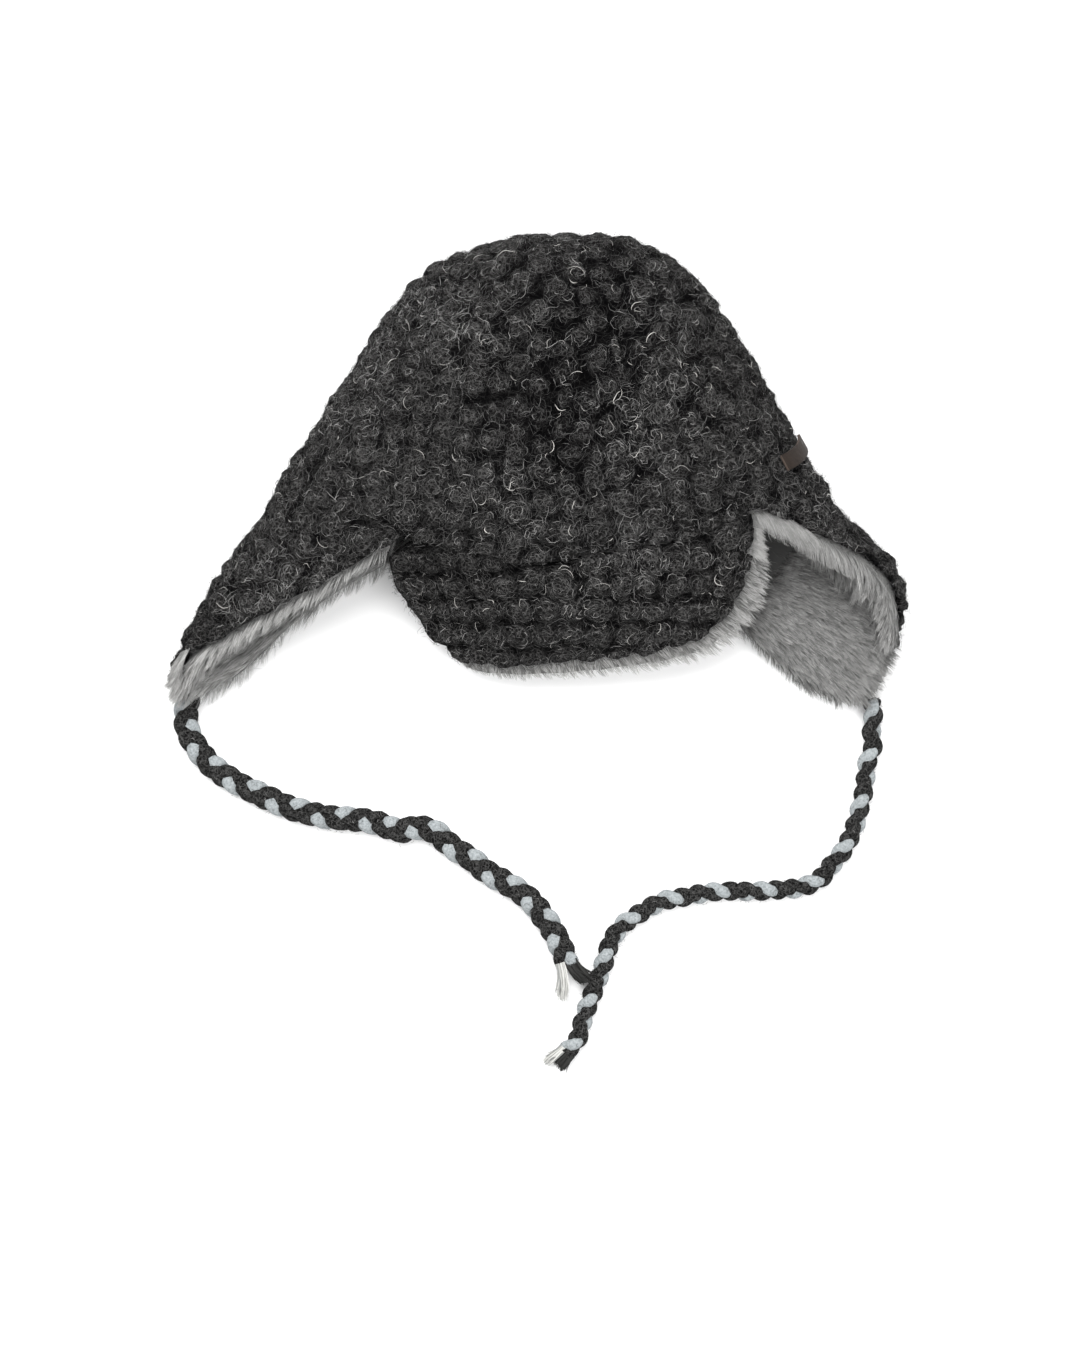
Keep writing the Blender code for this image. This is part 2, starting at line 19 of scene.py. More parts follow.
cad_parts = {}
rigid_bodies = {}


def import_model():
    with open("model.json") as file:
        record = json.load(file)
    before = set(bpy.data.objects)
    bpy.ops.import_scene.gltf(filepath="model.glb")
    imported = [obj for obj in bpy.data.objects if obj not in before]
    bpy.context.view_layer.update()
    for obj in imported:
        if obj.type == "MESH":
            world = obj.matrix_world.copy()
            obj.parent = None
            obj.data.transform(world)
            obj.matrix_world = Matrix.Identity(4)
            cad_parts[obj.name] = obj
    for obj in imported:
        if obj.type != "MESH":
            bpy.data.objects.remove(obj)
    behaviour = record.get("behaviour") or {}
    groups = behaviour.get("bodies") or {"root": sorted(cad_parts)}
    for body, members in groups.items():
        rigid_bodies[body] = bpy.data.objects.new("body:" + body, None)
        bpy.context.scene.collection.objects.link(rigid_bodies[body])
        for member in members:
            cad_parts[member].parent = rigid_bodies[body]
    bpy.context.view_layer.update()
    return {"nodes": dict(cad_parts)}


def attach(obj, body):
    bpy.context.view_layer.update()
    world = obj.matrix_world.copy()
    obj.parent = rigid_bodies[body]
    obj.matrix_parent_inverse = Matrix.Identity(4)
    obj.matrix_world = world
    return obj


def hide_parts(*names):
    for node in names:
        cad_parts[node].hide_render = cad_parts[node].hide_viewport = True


bpy.ops.object.select_all(action="SELECT")
bpy.ops.object.delete()
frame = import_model()
MM = 0.001
# Both seeds are fixed, so that every run gives the same hat
random = np.random.default_rng(41)
noise.seed_set(41)
print("nodes of the plain hat:", len(frame["nodes"]))

# %% [markdown]
# Each material is built from a few nodes. A small class stands for a node's output, so
# that the maths of a pattern reads as an ordinary Python expression. One method places
# every other node. That keeps the recipes short, and each can be read in one go.


# %% A node's output as a number
class Reading:
    """A node's output, on which + - and * add the matching Math nodes."""

    def __init__(self, finish, output):
        self.finish, self.output = finish, output

    def maths(self, operation, first, second):
        return self.finish.node("ShaderNodeMath", {0: first, 1: second}, operation=operation)

    def __add__(self, other):
        return self.maths("ADD", self, other)

    def __sub__(self, other):
        return self.maths("SUBTRACT", self, other)

    def __rsub__(self, other):
        return self.maths("SUBTRACT", other, self)

    def __mul__(self, other):
        return self.maths("MULTIPLY", self, other)

    __radd__ = __add__
    __rmul__ = __mul__


# %% [markdown]
# A finish is one material with the Principled shader. Wool, fur and leather are dull, so
# each gets a low specular level: with the usual one the deep gaps of the knitting would
# shine grey. A cloud is a noise pattern, and curls are thin bent lines drawn where a
# smooth cloud crosses its middle value, which look like hairs.


# %% A material under construction
class Finish:
    """One material, its nodes and its shader."""

    def __init__(self, name, colour, roughness, sheen=0.0, gloss=0.25):
        self.material = bpy.data.materials.new(name)
        self.material.use_nodes = True
        self.tree = self.material.node_tree
        self.shader = self.tree.nodes["Principled BSDF"]
        self.shader.inputs["Base Color"].default_value = (*colour, 1.0)
        self.shader.inputs["Roughness"].default_value = roughness
        self.shader.inputs["Specular IOR Level"].default_value = gloss
        self.shader.inputs["Sheen Weight"].default_value = sheen

    def join(self, socket, value):
        if isinstance(value, Reading):
            self.tree.links.new(value.output, socket)
        else:
            socket.default_value = value

    def node(self, kind, inputs, output=0, **settings):
        made = self.tree.nodes.new(kind)
        for name, value in settings.items():
            setattr(made, name, value)
        for name, value in inputs.items():
            self.join(made.inputs[name], value)
        return Reading(self, made.outputs[output])

    def place(self):
        return self.node("ShaderNodeTexCoord", {}, output="Object")

    def cloud(self, scale, detail=2.0, where=None):
        inputs = {"Vector": where or self.place(), "Scale": scale, "Detail": detail}
        return self.node("ShaderNodeTexNoise", inputs)

    def blend(self, share, dark, light):
        ends = [end if isinstance(end, Reading) else (*end, 1.0) for end in (dark, light)]
        inputs = {0: share, 6: ends[0], 7: ends[1]}
        return self.node("ShaderNodeMix", inputs, output=2, data_type="RGBA")

    def curls(self, scale, thin):
        """Thin curled lines, where a smooth cloud crosses its middle value."""
        off = self.cloud(scale, 1.0) - 0.5
        return self.spread(off.maths("ABSOLUTE", off, 0.0), thin, 0.0)

    def spread(self, value, low, high):
        inputs = {"Value": value, "From Min": low, "From Max": high}
        return self.node("ShaderNodeMapRange", inputs)

    def colour(self, value):
        self.join(self.shader.inputs["Base Color"], value)

    def bump(self, height, depth, strength=1.0):
        inputs = {"Height": height, "Distance": depth, "Strength": strength}
        self.join(self.shader.inputs["Normal"], self.node("ShaderNodeBump", inputs))


# %% [markdown]
# Every dressed piece starts from the CAD node that it replaces, so that it keeps its form.
# The node is copied, its loose triangles are merged, and modifiers then shape the copy.
# They are applied at once, because the next step works on the mesh that they leave.


# %% Copies and modifiers
def nothing_selected():
    bpy.ops.object.select_all(action="DESELECT")


def alone(thing):
    nothing_selected()
    thing.select_set(True)
    bpy.context.view_layer.objects.active = thing


def copy_of(nodes, name):
    """One new object made of copies of some CAD nodes, with their loose corners merged."""
    nothing_selected()
    copies = []
    for node in nodes:
        copy = frame["nodes"][node].copy()
        copy.data = copy.data.copy()
        copy.parent = None
        bpy.context.scene.collection.objects.link(copy)
        copy.select_set(True)
        copies.append(copy)
    bpy.context.view_layer.objects.active = copies[0]
    if len(copies) > 1:
        bpy.ops.object.join()
    made = bpy.context.view_layer.objects.active
    made.name = name
    made.data.materials.clear()
    bpy.ops.object.mode_set(mode="EDIT")
    bpy.ops.mesh.select_all(action="SELECT")
    bpy.ops.mesh.remove_doubles(threshold=1e-5)
    bpy.ops.object.mode_set(mode="OBJECT")
    return made


def finished_with(thing, kind, **settings):
    """Adds a modifier, sets it and applies it."""
    alone(thing)
    modifier = thing.modifiers.new(kind.title(), kind)
    for name, value in settings.items():
        setattr(modifier, name, value)
    bpy.ops.object.modifier_apply(modifier=modifier.name)


# %% [markdown]
# Thousands of corners are moved at a time, which would be slow one by one. So the corners
# are read into one array, changed together and written back. A search tree finds the
# nearest place on a mesh, and tells how far off it is.


# %% Corners and search trees
def corners(thing):
    values = np.empty(len(thing.data.vertices) * 3)
    thing.data.vertices.foreach_get("co", values)
    return values.reshape(-1, 3)


def corner_normals(thing):
    values = np.empty(len(thing.data.vertices) * 3)
    thing.data.vertex_normals.foreach_get("vector", values)
    return values.reshape(-1, 3)


def set_corners(thing, places):
    thing.data.vertices.foreach_set("co", places.ravel())
    thing.data.update()


def search_tree(thing):
    mesh = thing.data
    mesh.calc_loop_triangles()
    triangles = [tuple(t.vertices) for t in mesh.loop_triangles]
    return BVHTree.FromPolygons([v.co.copy() for v in mesh.vertices], triangles)


# %% [markdown]
# Fibres and fur have to stand evenly on a mesh whose faces differ in size. So a face is
# picked by its area, times a weight that keeps strands away from places nobody sees, and
# then a place on that face.


# %% Random places on a mesh
def scatter(thing, count, weigh=None, stored=None):
    """Random places on a mesh with the normals there, spread by area times a weight.

    With the name of a stored value, that value at each place comes third.
    """
    mesh = thing.data
    mesh.calc_loop_triangles()
    faces = np.empty(len(mesh.loop_triangles) * 3, dtype=np.int64)
    mesh.loop_triangles.foreach_get("vertices", faces)
    faces = faces.reshape(-1, 3)
    places = corners(thing)
    a, b, c = places[faces[:, 0]], places[faces[:, 1]], places[faces[:, 2]]
    crossed = np.cross(b - a, c - a)
    area = np.linalg.norm(crossed, axis=1)
    weight = area.copy()
    normals = crossed / np.maximum(area, 1e-15)[:, None]
    if weigh is not None:
        weight *= weigh((a + b + c) / 3, normals)
    picked = random.choice(len(faces), size=count, p=weight / weight.sum())
    u, v = random.random(count), random.random(count)
    over = u + v > 1
    u[over], v[over] = 1 - u[over], 1 - v[over]
    spots = a[picked] + (b - a)[picked] * u[:, None] + (c - a)[picked] * v[:, None]
    if stored is None:
        return spots, normals[picked]
    values = np.empty(len(places))
    mesh.attributes[stored].data.foreach_get("value", values)
    at = values[faces[picked]]
    return spots, normals[picked], at[:, 0] * (1 - u - v) + at[:, 1] * u + at[:, 2] * v


# %% [markdown]
# Wool and fur both need many copies of one thin shape. A flat, tapered ribbon is enough
# for a fibre, because a real one is thinner than a pixel. All the ribbons of a piece go
# into one mesh, and each face takes one of a few plain colours. So no two neighbouring
# strands look alike, and no pattern has to be painted on them.


# %% Flat strands
LOWEST_STRAND = 0.1 * MM


def unit(values):
    return values / np.maximum(np.linalg.norm(values, axis=-1, keepdims=True), 1e-12)


def ribbons(name, paths, facing, widths, taper, tones, finishes):
    """One mesh of flat strands. Paths are strands by stations by 3, tones strands by faces."""
    count, stations = paths.shape[:2]
    ahead = np.gradient(paths, axis=1)
    side = unit(np.cross(ahead, facing[:, None, :]))
    half = widths[:, None] * np.asarray(taper)[None, :] / 2
    left, right = paths + side * half[..., None], paths - side * half[..., None]
    places = np.stack([left, right], axis=2).reshape(-1, 3)
    places[:, 2] = np.maximum(places[:, 2], LOWEST_STRAND)
    first = (np.arange(count)[:, None] * stations + np.arange(stations - 1)[None, :]) * 2
    quads = np.stack([first, first + 1, first + 3, first + 2], axis=-1).reshape(-1, 4)
    mesh = bpy.data.meshes.new(name)
    mesh.vertices.add(len(places))
    mesh.vertices.foreach_set("co", places.ravel())
    mesh.loops.add(quads.size)
    mesh.loops.foreach_set("vertex_index", quads.ravel().astype(np.int32))
    mesh.polygons.add(len(quads))
    mesh.polygons.foreach_set("loop_start", np.arange(len(quads), dtype=np.int32) * 4)
    mesh.polygons.foreach_set("material_index", tones.ravel().astype(np.int32))
    mesh.update(calc_edges=True)
    for finish in finishes:
        mesh.materials.append(finish.material)
    made = bpy.data.objects.new(name, mesh)
    bpy.context.scene.collection.objects.link(made)
    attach(made, "root")
    print(name, "strands:", count, "triangles:", len(quads) * 2)
    return made


def off_surface(tree, places, lowest, highest):
    """Moves places along the nearest normal until they lie between two heights above it."""
    flat = places.reshape(-1, 3)
    for i, spot in enumerate(flat):
        found, normal, _, _ = tree.find_nearest(spot)
        height = (Vector(spot) - found).dot(normal)
        wanted = min(max(height, lowest), highest)
        if wanted != height:
            flat[i] = np.array(Vector(spot) + normal * (wanted - height))
    return flat.reshape(places.shape)


# %% [markdown]
# The knitting is a popcorn stitch: rows of round bobbles about 14 mm apart, with deep
# gaps between them. The wool is charcoal. Its colour and its fibres are painted paler on
# top of each bobble and darker in the gaps, as painted light and shade. A value named
# loft_and_shade, stored at each corner of the mesh, carries that, since it follows the
# bobbles exactly. Curled lines stand for the finest hairs.

# %% Wool finishes
wool = Finish("charcoal_wool", (0.03, 0.03, 0.03), 0.95, gloss=0.03)
loft_and_shade = wool.node("ShaderNodeAttribute", {}, output="Fac", attribute_name="loft_and_shade")
matted = wool.cloud(420, 4.0)
hairy = wool.cloud(1500, 3.0)
patchy = wool.cloud(18, 1.0)
# Painted light and shade: the wool is paler where the stored loft is high, and darker in the gaps
# and folds.
wool_tone = wool.spread(loft_and_shade * 1.3 + matted * 0.7 + patchy * 0.5 - 1.15, 0.0, 1.0)
wool_ground = wool.blend(wool_tone, (0.0008, 0.0008, 0.0009), (0.0075, 0.0073, 0.0071))
fine_hairs = wool.curls(230, 0.04) + wool.curls(430, 0.05)
hair_share = wool.spread(fine_hairs * (loft_and_shade * 1.2 - 0.2), 0.0, 1.2)
wool.colour(wool.blend(hair_share, wool_ground, (0.062, 0.0605, 0.0595)))
wool.bump(matted * 0.6 + hairy * 0.4, 0.0012, 1.0)

FIBRE_TONES = (
    # name, linear grey, share of the fibres
    ("fibre_black", 0.008, 0.14),
    ("fibre_dark", 0.022, 0.30),
    ("fibre_grey", 0.055, 0.33),
    ("fibre_light", 0.125, 0.18),
    ("fibre_pale", 0.300, 0.05),
)
fibre_finishes = [
    Finish(name, (grey, grey * 0.985, grey * 0.97), 0.8, gloss=0.05)
    for name, grey, _ in FIBRE_TONES
]
fibre_shares = [share for _, _, share in FIBRE_TONES]
print("wool finishes:", 1 + len(fibre_finishes))

# %% [markdown]
# The knitting and the linings lie close together, so each step asks how near the other
# layer is. A CAD node is hidden once a piece replaces it, so copies to search in are made
# first. They leave the scene at the end.

# %% Copies to search in
CROWN_NODES = ("crown_knit", "ear_flap_left_knit", "ear_flap_right_knit")
furs = copy_of(("crown_fur", "ear_flap_left_fur", "ear_flap_right_fur", "visor_fur"), "furs")
fur_tree = search_tree(furs)
knits = copy_of((*CROWN_NODES, "visor_knit"), "knits")
knit_tree = search_tree(knits)
print("corners to search in:", len(furs.data.vertices), "fur,", len(knits.data.vertices), "knit")

# %% [markdown]
# On the real hat the bobbles stand in columns that run up the crown and draw together
# above it, and in level rows on the visor. A regular grid would look machined. So a middle
# is laid only near a column or row, each as close to the last as it fits, and that
# distance varies a little.

# %% Where the bobbles sit
BOBBLE_PITCH = 14.8 * MM
ROW_PITCH = 13.0 * MM
COLUMNS_MEET = np.array([0.0, 300.0]) * MM
COLUMN_ANGLE = 0.045
MOST_BOBBLES = 3000


def crown_columns(places):
    """Place of each corner counted in knitted columns, which meet above the crown."""
    away = COLUMNS_MEET - places[:, :2]
    return np.arctan2(-away[:, 0], away[:, 1]) / COLUMN_ANGLE


def visor_rows(places):
    """Place of each corner counted in the visor's knitted rows."""
    return places[:, 1] / ROW_PITCH


def bobble_middles(places, outer, ranks, straight):
    """Middles of the bobbles: laid rank by rank, each as near to the last as they fit."""
    rank = np.round(ranks(places))
    near = np.abs(ranks(places) - rank) < straight
    picked = outer & near & (random.random(len(places)) < 0.5)
    order, rank = places[picked], rank[picked]
    order = order[np.lexsort((order[:, 1] - 0.3 * order[:, 0], rank))]
    kept = np.empty((MOST_BOBBLES, 3))
    used = 0
    for spot in order:
        gap = BOBBLE_PITCH * (0.76 + 0.48 * random.random())
        if used == 0 or np.min(((kept[:used] - spot) ** 2).sum(axis=1)) > gap * gap:
            kept[used] = spot
            used += 1
    return kept[:used]


# %% [markdown]
# The hat is soft, so its front sinks in along three folds. They are drawn as lines with a
# width, and shade is painted on the wool in them. A fourth line only paints shade, on the
# hollow at the crown's middle, and does not sink.

# %% Soft folds
FOLDS = (
    # x and y of one end, x and y of the other, half width, depth, all in mm, and how much shade is
    # painted
    (56, 84, 46, 8, 10, 3.5, 0.4),
    (-20, 44, -33, 4, 8, 2.5, 0.35),
    (88, 60, 80, 20, 8, 2.0, 0.3),
    (24, 84, 14, 20, 42, 0.0, 0.38),
)


def fold_shade_and_depths(places, normals):
    """How much shade is painted into the soft folds of the crown at each place, and how deep in
    metres.
    """
    share, depth = np.zeros(len(places)), np.zeros(len(places))
    for x0, y0, x1, y1, half, deep, dark in FOLDS:
        start, run = np.array([x0, y0]) * MM, np.array([x1 - x0, y1 - y0]) * MM
        along = ((places[:, :2] - start) @ run) / (run @ run)
        near = start + np.clip(along, 0, 1)[:, None] * run
        off = np.linalg.norm(places[:, :2] - near, axis=1)
        some = np.exp(-((off / (half * MM)) ** 2)) * np.clip(normals[:, 2] * 2 - 0.4, 0, 1)
        share, depth = np.maximum(share, some * dark), np.maximum(depth, some * deep * MM)
    return share, depth


# %% [markdown]
# The crown and the ear flaps are knitted in one go, so their copies are fused by a voxel
# remesh, which also gives corners close enough together for the bobbles. The inner side
# of the wall is hidden by the lining and is taken away.


# %% The bare skin of the knitting
HIDDEN_DEPTH = 1.5 * MM
OUTER_DEPTH = 5.8 * MM
RIM_DEPTH = 4.5 * MM


def off_lining(places):
    """How far each place is from the nearest lining."""
    return np.array([fur_tree.find_nearest(p)[3] for p in places])


def bare_skin(name, nodes, voxel):
    """Some CAD nodes as one even mesh, open on the side that the lining hides."""
    made = copy_of(nodes, name)
    finished_with(made, "REMESH", mode="VOXEL", voxel_size=voxel)
    finished_with(made, "SMOOTH", factor=0.6, iterations=6)
    hidden = off_lining(corners(made)) < HIDDEN_DEPTH
    alone(made)
    made.data.polygons.foreach_set("select", np.zeros(len(made.data.polygons), dtype=bool))
    made.data.edges.foreach_set("select", np.zeros(len(made.data.edges), dtype=bool))
    made.data.vertices.foreach_set("select", hidden)
    bpy.ops.object.mode_set(mode="EDIT")
    bpy.ops.mesh.select_mode(type="VERT")
    bpy.ops.mesh.delete(type="VERT")
    bpy.ops.object.mode_set(mode="OBJECT")
    return made


# %% [markdown]
# Then every corner moves along its normal: out on a bobble, in between two of them. Its
# distances to the three nearest middles say which it is. Near the rim the relief fades,
# and it never goes in so far that the lining would show through the wall.


# %% Raise the bobbles
BOBBLE_HEIGHT = 5.4 * MM
BOBBLE_GAP_DEPTH = 4.0 * MM
MAT_HEIGHT = 0.9 * MM
DEEPEST = 4.3
FLOOR_GAP = 0.2 * MM


def bobble_relief(places, normals, middles):
    """How far each corner moves out, the loft with its painted shade there, and a tree of middles.
    """
    tree = KDTree(len(middles))
    for i, middle in enumerate(middles):
        tree.insert(middle, i)
    tree.balance()
    heights = 0.6 + 0.5 * random.random(len(middles))
    fold_shade, sink = fold_shade_and_depths(places, normals)
    flank = 0.7 + 0.3 * np.clip(normals[:, 2] * 2, 0, 1)
    lifts, lofts_and_shade = np.empty(len(places)), np.empty(len(places))
    for i, spot in enumerate(places):
        point = Vector(spot)
        swirl = Vector(noise.noise_vector(point * 110)) * 3.2 * MM
        (_, nearest, d1), (_, _, d2), (_, _, d3) = tree.find_n(point + swirl, 3)
        share = 0.5 * (d2 - d1) / (d1 + d2) + 0.5 * (d3 - d1) / (d1 + d3)
        round_top = math.sin(math.pi / 2 * min(share * 1.15, 1.0)) ** 0.8
        mats = noise.fractal(point * 260, 0.8, 2.0, 3)
        shape = heights[nearest] * round_top
        lift = (BOBBLE_HEIGHT * shape - BOBBLE_GAP_DEPTH) * flank[i] + MAT_HEIGHT * mats - sink[i]
        lifts[i] = max(lift, -DEEPEST * MM)
        # Painted shade of the folds darkens the wool here.
        lofts_and_shade[i] = min(max(1.25 * round_top - 0.1 - fold_shade[i], 0.0), 1.0)
    return lifts, lofts_and_shade, tree


def knit(name, nodes, voxel, ranks, straight):
    """Knitted skin over some CAD nodes, and a tree of the middles of its bobbles."""
    made = bare_skin(name, nodes, voxel)
    places, normals = corners(made), corner_normals(made)
    depth = off_lining(places)
    middles = bobble_middles(places, depth > OUTER_DEPTH, ranks, straight)
    lifts, lofts_and_shade, tree = bobble_relief(places, normals, middles)
    rim = np.clip((depth - HIDDEN_DEPTH) / RIM_DEPTH, 0.0, 1.0)
    places = places + normals * (lifts * rim)[:, None]
    places[:, 2] = np.maximum(places[:, 2], FLOOR_GAP)
    set_corners(made, places)
    # The stored value also paints shade: it is low in the gaps, in the folds and near the rim.
    store = made.data.attributes.new("loft_and_shade", "FLOAT", "POINT")
    store.data.foreach_set("value", lofts_and_shade * (0.4 + 0.6 * rim))
    made.data.materials.append(wool.material)
    made.data.shade_smooth()
    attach(made, "root")
    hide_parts(*nodes)
    reach = lifts * rim / MM
    print(name, "bobbles:", len(middles), "triangles:", len(made.data.polygons) * 2)
    print("  furthest in and out, mm:", round(reach.min(), 2), round(reach.max(), 2))
    return made, tree


crown_wool, crown_bobbles = knit("knitted_crown", CROWN_NODES, 1.5 * MM, crown_columns, 0.32)
visor_wool, visor_bobbles = knit("knitted_visor", ("visor_knit",), 1.4 * MM, visor_rows, 0.2)

# %% [markdown]
# Brushed wool is covered with loose fibres that curl over the bobbles. Each one here is a
# short arc laid on the knitting, a little above it, and a few stand away from it, which
# gives the hat its soft outline. They are drawn on the mesh itself and not in a texture,
# because the outline shows them.


# %% Shapes and tones of the fibres
def arcs(spots, across, along, lengths, turn, curl, stations):
    """Wavy arcs in the plane of two directions, each from its own place and with its own turn."""
    count = len(spots)
    steps = np.linspace(-0.5, 0.5, stations)
    angle = turn[:, None] + curl[:, None] * steps[None, :] * 2
    angle += 0.5 * random.normal(size=(count, 1)) * np.cos(steps[None, :] * 9 + turn[:, None])
    move_a = np.cumsum(np.cos(angle), axis=1) / stations
    move_b = np.cumsum(np.sin(angle), axis=1) / stations
    return spots[:, None, :] + lengths[:, None, None] * (
        across[:, None, :] * move_a[..., None] + along[:, None, :] * move_b[..., None]
    )


def fibre_tones(spots, lofts_and_shade):
    """Number of each fibre's colour: painted darker in the gaps as shade, and varied in patches."""
    count, last = len(spots), len(fibre_shares) - 1
    tone = random.choice(len(fibre_shares), size=count, p=fibre_shares)
    patch = np.array([noise.noise(Vector(p) * 20) for p in spots])
    tone = tone + np.round(0.9 * patch + 0.8 * random.random(count) - 0.4)
    tone = tone - np.round(2.6 * np.clip(0.75 - lofts_and_shade, 0, 1))
    return np.clip(tone, 0, last).astype(int)


# %% [markdown]
# Twice as many places as needed are scattered, and those in the gaps are dropped first.
# About two fibres in three then run round their own bobble, as the yarn does, and the
# rest lie any way. That keeps the bobbles readable under all the fuzz.


# %% Lay the loose fibres
def fuzz(name, base, count, length, width, bobbles=None, stray=0.10, weigh=None, stations=4):
    """Curled wool fibres over a knitted piece. Most of them swirl around their bobble."""
    tree = search_tree(base)
    spots, normals, lofts_and_shade = scatter(base, 2 * count, weigh, "loft_and_shade")
    kept = np.argsort(random.random(len(lofts_and_shade)) / (0.15 + lofts_and_shade))[:count]
    spots, normals, lofts_and_shade = spots[kept], normals[kept], lofts_and_shade[kept]
    turn = random.random(count) * 2 * math.pi
    curl = random.normal(size=count) * 1.7
    lengths = length * (0.5 + random.random(count) ** 1.5)
    outward = unit(random.normal(size=(count, 3)))
    if bobbles is not None:
        middles = np.array([bobbles.find(p)[0] for p in spots])
        swirl = random.random(count) < 0.65
        outward = np.where(swirl[:, None], spots - middles, outward)
        radius = np.maximum(np.linalg.norm(spots - middles, axis=1), 3 * MM)
        turn = np.where(swirl, 0.45 * random.normal(size=count), turn)
        curl = np.where(swirl, lengths / (2 * radius) * (0.6 + 0.8 * random.random(count)), curl)
    across = unit(np.cross(normals, outward))
    along = np.cross(normals, across)
    paths = arcs(spots, across, along, lengths, turn, curl, stations)
    high = 0.25 * MM + 0.6 * MM * random.random(count)
    loose = random.random(count) < stray
    paths = off_surface(tree, paths, 0.15 * MM, 0.9 * MM)
    rise = np.where(loose, 1.5 * MM + 2.5 * MM * random.random(count), high)
    rising = np.where(loose[:, None], np.linspace(0, 1, stations)[None, :], 0.6)
    paths = paths + normals[:, None, :] * (rise[:, None] * rising)[..., None]
    widths = width * (0.6 + 0.8 * random.random(count))
    tones = np.repeat(fibre_tones(spots, lofts_and_shade)[:, None], stations - 1, axis=1)
    steps = np.linspace(-0.5, 0.5, stations)
    taper = np.interp(steps, (-0.5, -0.2, 0.2, 0.5), (0.4, 1.0, 1.0, 0.2))
    made = ribbons(name, paths, normals, widths, taper, tones, fibre_finishes)


def seen_side(middles, normals):
    """More fibres where the hat is seen from above, fewer on its back."""
    return np.where(normals[:, 2] > -0.2, 1.0, 0.12)


FINE, LONG = 7.0 * MM, 12.0 * MM
HAIR = 0.15 * MM
fuzz("crown_fuzz_fine", crown_wool, 33000, FINE, HAIR, crown_bobbles, weigh=seen_side)
fuzz("crown_fuzz_long", crown_wool, 16000, LONG, HAIR, crown_bobbles, weigh=seen_side, stations=5)
fuzz("visor_fuzz", visor_wool, 10500, FINE, HAIR, visor_bobbles, weigh=seen_side)


# %% [markdown]
# Among the grey fibres lie a few thick white ones, curled like the letter C. They are what
# the eye catches first on this wool, so they are laid as a sparse layer of their own.

# %% Lay the white curls
curl_finishes = [Finish("white_curl", (0.44, 0.43, 0.41), 0.7)]


def white_curls(name, base, count):
    tree = search_tree(base)
    spots, normals = scatter(base, count, seen_side)
    across = unit(np.cross(normals, unit(random.normal(size=(count, 3)))))
    along = np.cross(normals, across)
    stations = 8
    bend = (0.8 + 1.8 * random.random(count)) * np.sign(random.random(count) - 0.5)
    radius = (2.0 + 4.0 * random.random(count)) * MM
    angle = bend[:, None] * np.linspace(-0.5, 0.5, stations)[None, :]
    paths = spots[:, None, :] + radius[:, None, None] * (
        across[:, None, :] * np.cos(angle)[..., None] + along[:, None, :] * np.sin(angle)[..., None]
    )
    paths = off_surface(tree, paths, 0.9 * MM, 1.5 * MM)
    widths = (0.16 + 0.26 * random.random(count) ** 3) * MM
    tones = np.zeros((count, stations - 1), dtype=int)
    taper = (0.2, 0.6, 0.9, 1.0, 1.0, 0.8, 0.5, 0.15)
    made = ribbons(name, paths, normals, widths, taper, tones, curl_finishes)


white_curls("crown_curls", crown_wool, 190)
white_curls("visor_curls", visor_wool, 55)

# %% [markdown]
# The lining is short grey fur. Its backing is the CAD lining with a soft, dull grey, and
# the pile is real strands on top. The strands grow in small locks that lean together,
# because that is what gives combed fur its streaks and its ragged edge. Each lock leans
# the way that the fur is combed at that place.

# %% Fur finishes
fur_base = Finish("grey_fur", (0.2, 0.2, 0.2), 0.95)
tuft_cloud = fur_base.cloud(260, 3.0)
fur_base.colour(fur_base.blend(tuft_cloud, (0.07, 0.07, 0.068), (0.20, 0.20, 0.194)))
fur_base.bump(fur_base.cloud(700, 3.0), 0.0012, 1.0)

FUR_GREYS = (0.065, 0.105, 0.155, 0.215, 0.29, 0.38)
fur_finishes = [
    Finish(f"fur_{i}", (grey, grey * 0.995, grey * 0.972), 0.75, sheen=0.1)
    for i, grey in enumerate(FUR_GREYS)
]
# A darker copy of the fur's backing, painted with the shade inside the hat.
fur_painted_shade = Finish("grey_fur_painted_shade", (0.045, 0.045, 0.044), 0.95, gloss=0.05)
print("fur finishes:", 2 + len(fur_finishes))

# %% [markdown]
# The backing under the pile is the CAD lining itself, softened a little. Most of it lies
# against the knitting, where no strand is seen. A short ray along the normal finds that.


# %% Backing of the linings
def facing_knit(spots, normals):
    """Which spots of the lining lie against the knitting and are hidden by it."""
    hidden = np.zeros(len(spots), dtype=bool)
    for i in range(len(spots)):
        start = Vector(spots[i]) - Vector(normals[i]) * 0.2 * MM
        hidden[i] = knit_tree.ray_cast(start, Vector(normals[i]), 2.5 * MM)[0] is not None
    return hidden


def lining(name, node, finish=fur_base):
    """The lining's backing: the CAD solid, rounded and a little uneven."""
    made = copy_of((node,), name)
    finished_with(made, "SUBSURF", levels=1, render_levels=1, subdivision_type="SIMPLE")
    finished_with(made, "SMOOTH", factor=0.5, iterations=3)
    made.data.materials.append(finish.material)
    made.data.shade_smooth()
    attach(made, "root")
    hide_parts(node)
    print(name, "triangles:", sum(len(p.vertices) - 2 for p in made.data.polygons))
    return made


# %% [markdown]
# A strand starts just under the surface, runs the way the comb function gives, and bows up
# a little. About a dozen neighbours form a lock: they share its lean, length and tone, and
# draw together towards their tips.


# %% Combed pile
STRANDS_IN_LOCK = 12
STRAND_STATIONS = 4
STRAND_WIDTH = 0.24 * MM
STRAND_BOW = 0.2
ROOT_DEPTH = 0.4 * MM


def locks_of(spots):
    """How many locks some strands form, and the number of each strand's lock."""
    locks = max(1, len(spots) // STRANDS_IN_LOCK)
    tree = KDTree(locks)
    for i in range(locks):
        tree.insert(spots[i], i)
    tree.balance()
    return locks, np.array([tree.find(p)[1] for p in spots])


